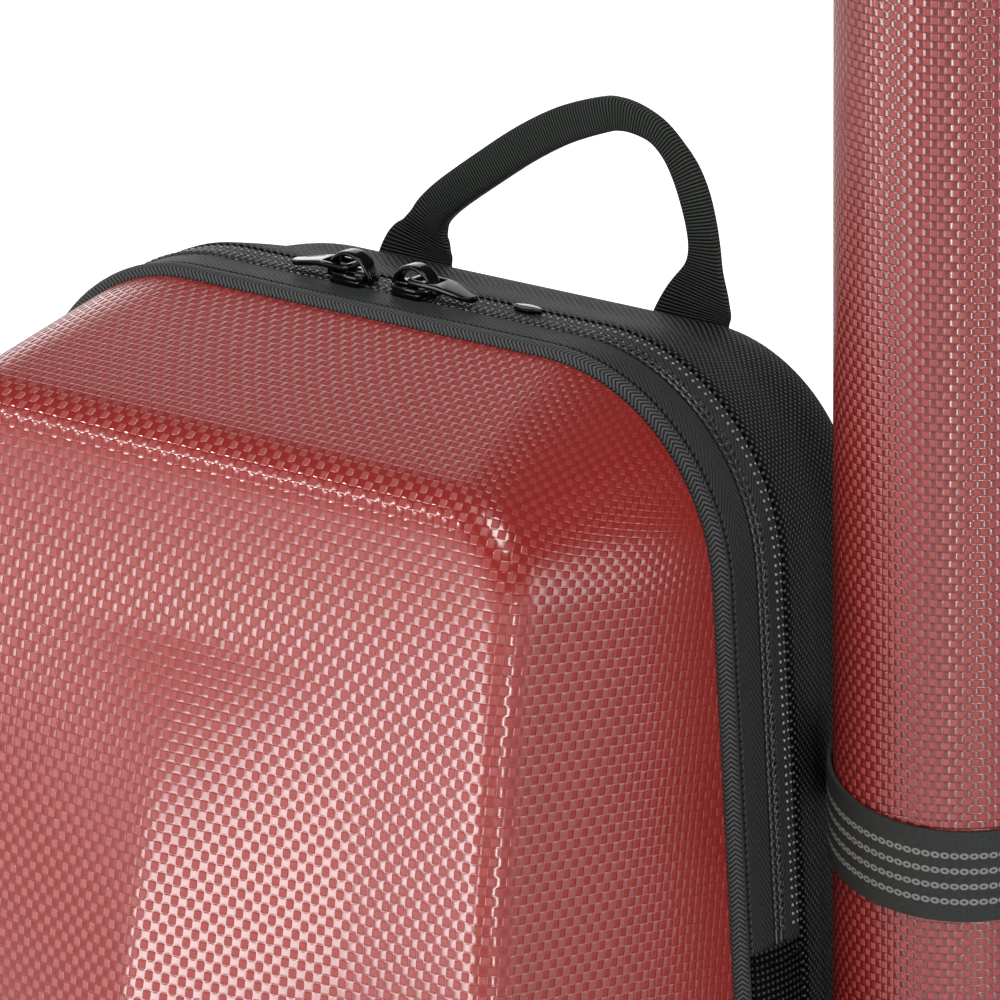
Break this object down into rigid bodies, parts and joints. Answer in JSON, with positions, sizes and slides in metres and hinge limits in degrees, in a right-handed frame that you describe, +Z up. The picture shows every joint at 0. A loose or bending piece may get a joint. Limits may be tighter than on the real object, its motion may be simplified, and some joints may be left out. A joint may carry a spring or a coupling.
{
  "type": "violin case",
  "caption": "Backpack violin case with a hard ridged front shell that opens on a side fabric hinge, zip all round, haul loop, shoulder straps and a bow tube held by elastic loops.",
  "frame": {"origin": "centre of the flat underside of the rubber guard under the case", "axes": "+Z up along the standing case, the front shell faces -Y, +X towards the bow tube"},
  "size_m": [0.41, 0.2623, 0.8],
  "materials": {
    "shell_red": "satin embossed weave",
    "nylon_black": "woven nylon",
    "webbing_black": "ribbed webbing",
    "enamel_black": "gloss enamel",
    "plastic_black": "moulded satin",
    "plush_grey": "plush",
    "foam_grey": "closed-cell foam",
    "rubber_black": "moulded matte",
    "elastic_grey": "woven elastic"
  },
  "bodies": {
    "case_base": {"back_tray": "plastic_black", "side_cover": "nylon_black", "back_panel": "nylon_black", "back_binding": "nylon_black", "base_guard": "rubber_black", "base_zip_tape": "nylon_black", "base_zip_coil": "plastic_black", "hinge_strip_base": "nylon_black", "zip_tab": "plastic_black", "inlay_floor": "plush_grey", "inlay_lower_left": "plush_grey", "inlay_lower_right": "plush_grey", "inlay_upper_left": "plush_grey", "inlay_upper_right": "plush_grey", "neck_rest": "plush_grey", "back_pad_left": "nylon_black", "back_pad_right": "nylon_black", "shoulder_strap_left": "nylon_black", "shoulder_strap_right": "nylon_black", "strap_adjuster_left": "plastic_black", "strap_adjuster_right": "plastic_black", "strap_webbing_left": "webbing_black", "strap_webbing_right": "webbing_black", "strap_anchor_left": "nylon_black", "strap_anchor_right": "nylon_black", "tube_strap_upper": "elastic_grey", "tube_strap_lower": "elastic_grey", "top_handle_tab_left": "webbing_black", "top_handle_tab_right": "webbing_black", "side_handle_tab_low": "webbing_black", "side_handle_tab_high": "webbing_black"},
    "lid": {"front_shell": "shell_red", "lid_lining": "plush_grey", "lid_frame": "plastic_black", "lid_piping": "nylon_black", "lid_zip_tape": "nylon_black", "lid_zip_coil": "plastic_black", "hinge_strip_lid": "nylon_black", "shell_foot_left": "rubber_black", "shell_foot_right": "rubber_black"},
    "slider_left": {"zip_slider_left": "enamel_black"},
    "slider_right": {"zip_slider_right": "enamel_black"},
    "pull_left": {"zip_pull_left": "enamel_black"},
    "pull_right": {"zip_pull_right": "enamel_black"},
    "haul_loop": {"top_handle": "webbing_black"},
    "carry_handle": {"side_handle": "webbing_black"},
    "bow_tube": {"tube_foot": "plastic_black", "tube_barrel": "shell_red", "tube_collar": "plastic_black", "tube_lining": "plush_grey", "bow_holder": "foam_grey"},
    "bow_tube_cap": {"tube_cap": "plastic_black"},
    "pocket_lid": {"accessory_lid": "plush_grey"},
    "neck_tie": {"neck_strap": "webbing_black"}
  },
  "joints": [
    {"name": "lid_hinge", "type": "hinge", "parent": "case_base", "child": "lid", "pos_m": [0.147, -0.03807, 0.27], "axis": [0, 0, 1], "range_deg": [0, 90]},
    {"name": "slider_left_run", "type": "slide", "parent": "case_base", "child": "slider_left", "axis": [-1, 0, 0], "range_m": [0, 0.03]},
    {"name": "slider_right_run", "type": "slide", "parent": "case_base", "child": "slider_right", "axis": [1, 0, 0], "range_m": [0, 0.022]},
    {"name": "pull_left_turn", "type": "hinge", "parent": "slider_left", "child": "pull_left", "pos_m": [-0.0205, -0.03807, 0.6483], "axis": [0, 1, 0], "range_deg": [0, 120]},
    {"name": "pull_right_turn", "type": "hinge", "parent": "slider_right", "child": "pull_right", "pos_m": [0.0047, -0.03807, 0.6483], "axis": [0, -1, 0], "range_deg": [0, 120]},
    {"name": "haul_loop_fold", "type": "hinge", "parent": "case_base", "child": "haul_loop", "pos_m": [0.0032, 0.02792, 0.6322], "axis": [1, 0, 0], "range_deg": [-80, 60]},
    {"name": "carry_handle_fold", "type": "hinge", "parent": "case_base", "child": "carry_handle", "pos_m": [-0.14149, 0.00193, 0.3], "axis": [0, 0, 1], "range_deg": [-80, 65]},
    {"name": "bow_tube_lift", "type": "slide", "parent": "case_base", "child": "bow_tube", "axis": [0, 0, 1], "range_m": [0, 0.3]},
    {"name": "tube_cap_pull", "type": "slide", "parent": "bow_tube", "child": "bow_tube_cap", "axis": [0, 0, 1], "range_m": [0, 0.06]},
    {"name": "pocket_lid_hinge", "type": "hinge", "parent": "case_base", "child": "pocket_lid", "pos_m": [-0.108, -0.01197, 0.51], "axis": [0, 0, -1], "range_deg": [0, 95]},
    {"name": "neck_tie_open", "type": "hinge", "parent": "case_base", "child": "neck_tie", "pos_m": [-0.026, -0.03327, 0.436], "axis": [0, 0, -1], "range_deg": [0, 110]}
  ]
}
